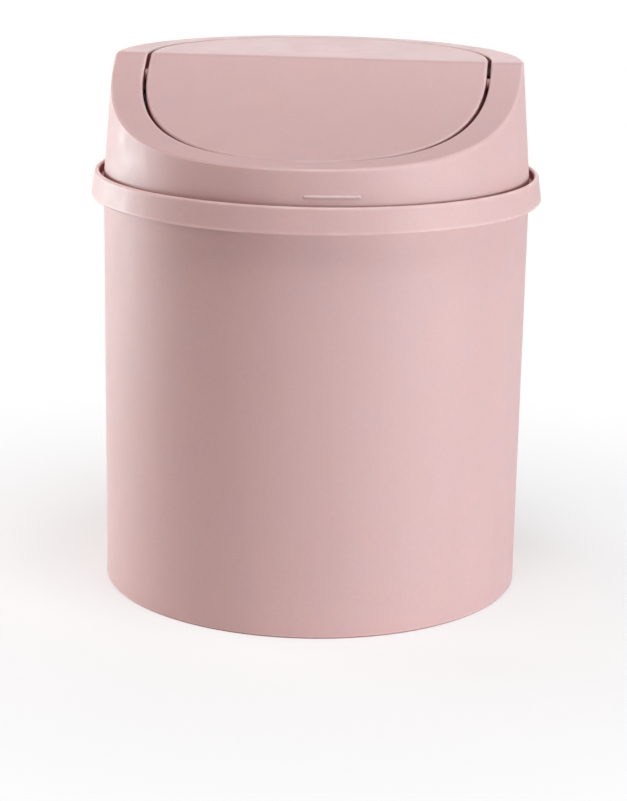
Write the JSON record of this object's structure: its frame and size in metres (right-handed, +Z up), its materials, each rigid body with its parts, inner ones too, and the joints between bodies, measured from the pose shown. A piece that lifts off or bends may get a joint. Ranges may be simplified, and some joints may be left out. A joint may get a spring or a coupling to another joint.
{
  "type": "desktop swing-lid bin",
  "caption": "Small round plastic desk bin: a straight tub with a collar band, a lift-off hood with a swept front, and an oval push flap that swings in and falls shut.",
  "frame": {"origin": "centre of the foot ring, on the floor", "axes": "+Z up along the bucket's axis, -Y towards the front (the side that is pushed), X along the flap's pivot"},
  "size_m": [0.135, 0.135, 0.16],
  "materials": {
    "pink_plastic": "fine matte moulded polypropylene, pale dusty pink"
  },
  "bodies": {
    "bucket": {"bucket": "pink_plastic"},
    "hood": {"hood": "pink_plastic"},
    "flap": {"swing_flap": "pink_plastic"}
  },
  "joints": [
    {"name": "hood_lift", "type": "slide", "parent": "bucket", "child": "hood", "axis": [0, 0, 1], "range_m": [0, 0.07]},
    {"name": "flap_swing", "type": "hinge", "parent": "hood", "child": "flap", "pos_m": [0, -0.004, 0.1535], "axis": [1, 0, 0], "range_deg": [0, 75]}
  ]
}
